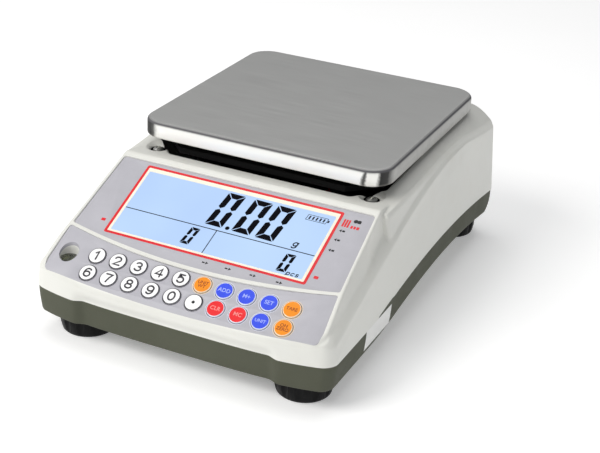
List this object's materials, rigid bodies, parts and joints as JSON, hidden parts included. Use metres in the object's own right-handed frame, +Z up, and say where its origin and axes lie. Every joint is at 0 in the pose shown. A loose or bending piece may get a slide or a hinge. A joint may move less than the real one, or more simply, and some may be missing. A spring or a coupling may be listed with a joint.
{
  "type": "counting scale",
  "caption": "Compact bench counting scale: pale case with sloped display and keypad, dark base on screw feet, lift-off steel pan over a load cell, power switch and charger inlet behind.",
  "frame": {"origin": "on the table plane under the middle of the case, half its width and half its depth; the rear wheels stand 8 mm further back than the case", "axes": "+X to the user's right, +Y towards the rear, +Z up"},
  "size_m": [0.21, 0.312, 0.1157],
  "materials": {
    "ivory_plastic": "fine-textured moulded ABS",
    "olive_plastic": "textured moulded ABS",
    "panel_film": "satin printed film on a flat panel",
    "window_clear": "clear acrylic",
    "lcd": "backlit liquid-crystal cell",
    "backlight": "light guide",
    "board": "solder-masked circuit board",
    "key_white": "satin cap with printed figure",
    "key_orange": "satin cap",
    "key_blue": "satin cap",
    "key_red": "satin cap",
    "silicone": "moulded silicone",
    "vial_clear": "clear acrylic",
    "vial_fluid": "tinted spirit",
    "pan_steel": "satin stainless sheet with polished rim",
    "black_rubber": "matte",
    "black_plastic": "textured moulding",
    "aluminium": "machined",
    "steel": "zinc plated",
    "brass": "turned",
    "battery_case": "moulded",
    "rocker_red": "moulded",
    "label_white": "blank film label",
    "cable_grey": "PVC jacket",
    "cable_red": "PVC jacket"
  },
  "bodies": {
    "case": {"base_tray": "olive_plastic", "upper_housing": "ivory_plastic", "display_panel": "panel_film", "display_window": "window_clear", "lcd_glass": "lcd", "lcd_backlight": "backlight", "main_board": "board", "keypad_panel": "panel_film", "key_mat": "silicone", "keypad_board": "board", "level_vial": "vial_clear", "level_fluid": "vial_fluid", "load_cell": "aluminium", "cell_base_spacer": "aluminium", "cell_base_screws": "steel", "overload_stop": "steel", "battery": "battery_case", "battery_cover": "olive_plastic", "cover_screws": "steel", "power_switch": "black_plastic", "dc_socket": "black_plastic", "thread_inserts": "brass", "case_screws": "steel", "side_label": "label_white", "cell_cable": "cable_grey", "battery_lead": "cable_red"},
    "support": {"pan_support": "black_plastic", "cell_top_spacer": "aluminium", "cell_top_screws": "steel", "pan_pads": "black_rubber"},
    "pan": {"pan": "pan_steel"},
    "key_1": {"key_1": "key_white"},
    "key_2": {"key_2": "key_white"},
    "key_3": {"key_3": "key_white"},
    "key_4": {"key_4": "key_white"},
    "key_5": {"key_5": "key_white"},
    "key_orange_1": {"key_orange_1": "key_orange"},
    "key_blue_1": {"key_blue_1": "key_blue"},
    "key_blue_2": {"key_blue_2": "key_blue"},
    "key_blue_3": {"key_blue_3": "key_blue"},
    "key_orange_2": {"key_orange_2": "key_orange"},
    "key_6": {"key_6": "key_white"},
    "key_7": {"key_7": "key_white"},
    "key_8": {"key_8": "key_white"},
    "key_9": {"key_9": "key_white"},
    "key_0": {"key_0": "key_white"},
    "key_point": {"key_point": "key_white"},
    "key_red_1": {"key_red_1": "key_red"},
    "key_red_2": {"key_red_2": "key_red"},
    "key_blue_4": {"key_blue_4": "key_blue"},
    "key_orange_3": {"key_orange_3": "key_orange"},
    "foot_fl": {"foot_stud_fl": "steel"},
    "wheel_fl": {"foot_wheel_fl": "black_plastic"},
    "foot_fr": {"foot_stud_fr": "steel"},
    "wheel_fr": {"foot_wheel_fr": "black_plastic"},
    "foot_rl": {"foot_stud_rl": "steel"},
    "wheel_rl": {"foot_wheel_rl": "black_plastic"},
    "foot_rr": {"foot_stud_rr": "steel"},
    "wheel_rr": {"foot_wheel_rr": "black_plastic"},
    "rocker": {"power_rocker": "rocker_red"}
  },
  "joints": [
    {"name": "weigh_travel", "type": "slide", "parent": "case", "child": "support", "axis": [0, 0, -1], "range_m": [0, 0.0005], "stiffness_N_per_m": 60000, "springref_m": -0.0001, "deforming": ["load_cell"]},
    {"name": "pan_lift", "type": "slide", "parent": "support", "child": "pan", "axis": [0, 0, 1], "range_m": [0, 0.06]},
    {"name": "press_key_1", "type": "slide", "parent": "case", "child": "key_1", "axis": [0, 0.524, -0.8517], "range_m": [0, 0.0006], "stiffness_N_per_m": 500, "springref_m": -0.0004},
    {"name": "press_key_2", "type": "slide", "parent": "case", "child": "key_2", "axis": [0, 0.524, -0.8517], "range_m": [0, 0.0006], "stiffness_N_per_m": 500, "springref_m": -0.0004},
    {"name": "press_key_3", "type": "slide", "parent": "case", "child": "key_3", "axis": [0, 0.524, -0.8517], "range_m": [0, 0.0006], "stiffness_N_per_m": 500, "springref_m": -0.0004},
    {"name": "press_key_4", "type": "slide", "parent": "case", "child": "key_4", "axis": [0, 0.524, -0.8517], "range_m": [0, 0.0006], "stiffness_N_per_m": 500, "springref_m": -0.0004},
    {"name": "press_key_5", "type": "slide", "parent": "case", "child": "key_5", "axis": [0, 0.524, -0.8517], "range_m": [0, 0.0006], "stiffness_N_per_m": 500, "springref_m": -0.0004},
    {"name": "press_key_orange_1", "type": "slide", "parent": "case", "child": "key_orange_1", "axis": [0, 0.524, -0.8517], "range_m": [0, 0.0006], "stiffness_N_per_m": 500, "springref_m": -0.0004},
    {"name": "press_key_blue_1", "type": "slide", "parent": "case", "child": "key_blue_1", "axis": [0, 0.524, -0.8517], "range_m": [0, 0.0006], "stiffness_N_per_m": 500, "springref_m": -0.0004},
    {"name": "press_key_blue_2", "type": "slide", "parent": "case", "child": "key_blue_2", "axis": [0, 0.524, -0.8517], "range_m": [0, 0.0006], "stiffness_N_per_m": 500, "springref_m": -0.0004},
    {"name": "press_key_blue_3", "type": "slide", "parent": "case", "child": "key_blue_3", "axis": [0, 0.524, -0.8517], "range_m": [0, 0.0006], "stiffness_N_per_m": 500, "springref_m": -0.0004},
    {"name": "press_key_orange_2", "type": "slide", "parent": "case", "child": "key_orange_2", "axis": [0, 0.524, -0.8517], "range_m": [0, 0.0006], "stiffness_N_per_m": 500, "springref_m": -0.0004},
    {"name": "press_key_6", "type": "slide", "parent": "case", "child": "key_6", "axis": [0, 0.524, -0.8517], "range_m": [0, 0.0006], "stiffness_N_per_m": 500, "springref_m": -0.0004},
    {"name": "press_key_7", "type": "slide", "parent": "case", "child": "key_7", "axis": [0, 0.524, -0.8517], "range_m": [0, 0.0006], "stiffness_N_per_m": 500, "springref_m": -0.0004},
    {"name": "press_key_8", "type": "slide", "parent": "case", "child": "key_8", "axis": [0, 0.524, -0.8517], "range_m": [0, 0.0006], "stiffness_N_per_m": 500, "springref_m": -0.0004},
    {"name": "press_key_9", "type": "slide", "parent": "case", "child": "key_9", "axis": [0, 0.524, -0.8517], "range_m": [0, 0.0006], "stiffness_N_per_m": 500, "springref_m": -0.0004},
    {"name": "press_key_0", "type": "slide", "parent": "case", "child": "key_0", "axis": [0, 0.524, -0.8517], "range_m": [0, 0.0006], "stiffness_N_per_m": 500, "springref_m": -0.0004},
    {"name": "press_key_point", "type": "slide", "parent": "case", "child": "key_point", "axis": [0, 0.524, -0.8517], "range_m": [0, 0.0006], "stiffness_N_per_m": 500, "springref_m": -0.0004},
    {"name": "press_key_red_1", "type": "slide", "parent": "case", "child": "key_red_1", "axis": [0, 0.524, -0.8517], "range_m": [0, 0.0006], "stiffness_N_per_m": 500, "springref_m": -0.0004},
    {"name": "press_key_red_2", "type": "slide", "parent": "case", "child": "key_red_2", "axis": [0, 0.524, -0.8517], "range_m": [0, 0.0006], "stiffness_N_per_m": 500, "springref_m": -0.0004},
    {"name": "press_key_blue_4", "type": "slide", "parent": "case", "child": "key_blue_4", "axis": [0, 0.524, -0.8517], "range_m": [0, 0.0006], "stiffness_N_per_m": 500, "springref_m": -0.0004},
    {"name": "press_key_orange_3", "type": "slide", "parent": "case", "child": "key_orange_3", "axis": [0, 0.524, -0.8517], "range_m": [0, 0.0006], "stiffness_N_per_m": 500, "springref_m": -0.0004},
    {"name": "foot_height_fl", "type": "slide", "parent": "case", "child": "foot_fl", "axis": [0, 0, 1], "range_m": [-0.004, 0.004]},
    {"name": "foot_turn_fl", "type": "hinge", "parent": "foot_fl", "child": "wheel_fl", "pos_m": [-0.078, -0.122, 0], "axis": [0, 0, 1], "range_deg": [-1150, 1150]},
    {"name": "foot_height_fr", "type": "slide", "parent": "case", "child": "foot_fr", "axis": [0, 0, 1], "range_m": [-0.004, 0.004]},
    {"name": "foot_turn_fr", "type": "hinge", "parent": "foot_fr", "child": "wheel_fr", "pos_m": [0.078, -0.122, 0], "axis": [0, 0, 1], "range_deg": [-1150, 1150]},
    {"name": "foot_height_rl", "type": "slide", "parent": "case", "child": "foot_rl", "axis": [0, 0, 1], "range_m": [-0.004, 0.004]},
    {"name": "foot_turn_rl", "type": "hinge", "parent": "foot_rl", "child": "wheel_rl", "pos_m": [-0.078, 0.141, 0], "axis": [0, 0, 1], "range_deg": [-1150, 1150]},
    {"name": "foot_height_rr", "type": "slide", "parent": "case", "child": "foot_rr", "axis": [0, 0, 1], "range_m": [-0.004, 0.004]},
    {"name": "foot_turn_rr", "type": "hinge", "parent": "foot_rr", "child": "wheel_rr", "pos_m": [0.078, 0.141, 0], "axis": [0, 0, 1], "range_deg": [-1150, 1150]},
    {"name": "rocker_tilt", "type": "hinge", "parent": "case", "child": "rocker", "pos_m": [0.017, 0.1505, 0.0575], "axis": [1, 0, 0], "range_deg": [0, 14]}
  ],
  "couplings": [
    {"joint": "foot_height_fl", "follows": "foot_turn_fl", "m_per_rad": 0.00019894},
    {"joint": "foot_height_fr", "follows": "foot_turn_fr", "m_per_rad": 0.00019894},
    {"joint": "foot_height_rl", "follows": "foot_turn_rl", "m_per_rad": 0.00019894},
    {"joint": "foot_height_rr", "follows": "foot_turn_rr", "m_per_rad": 0.00019894}
  ]
}
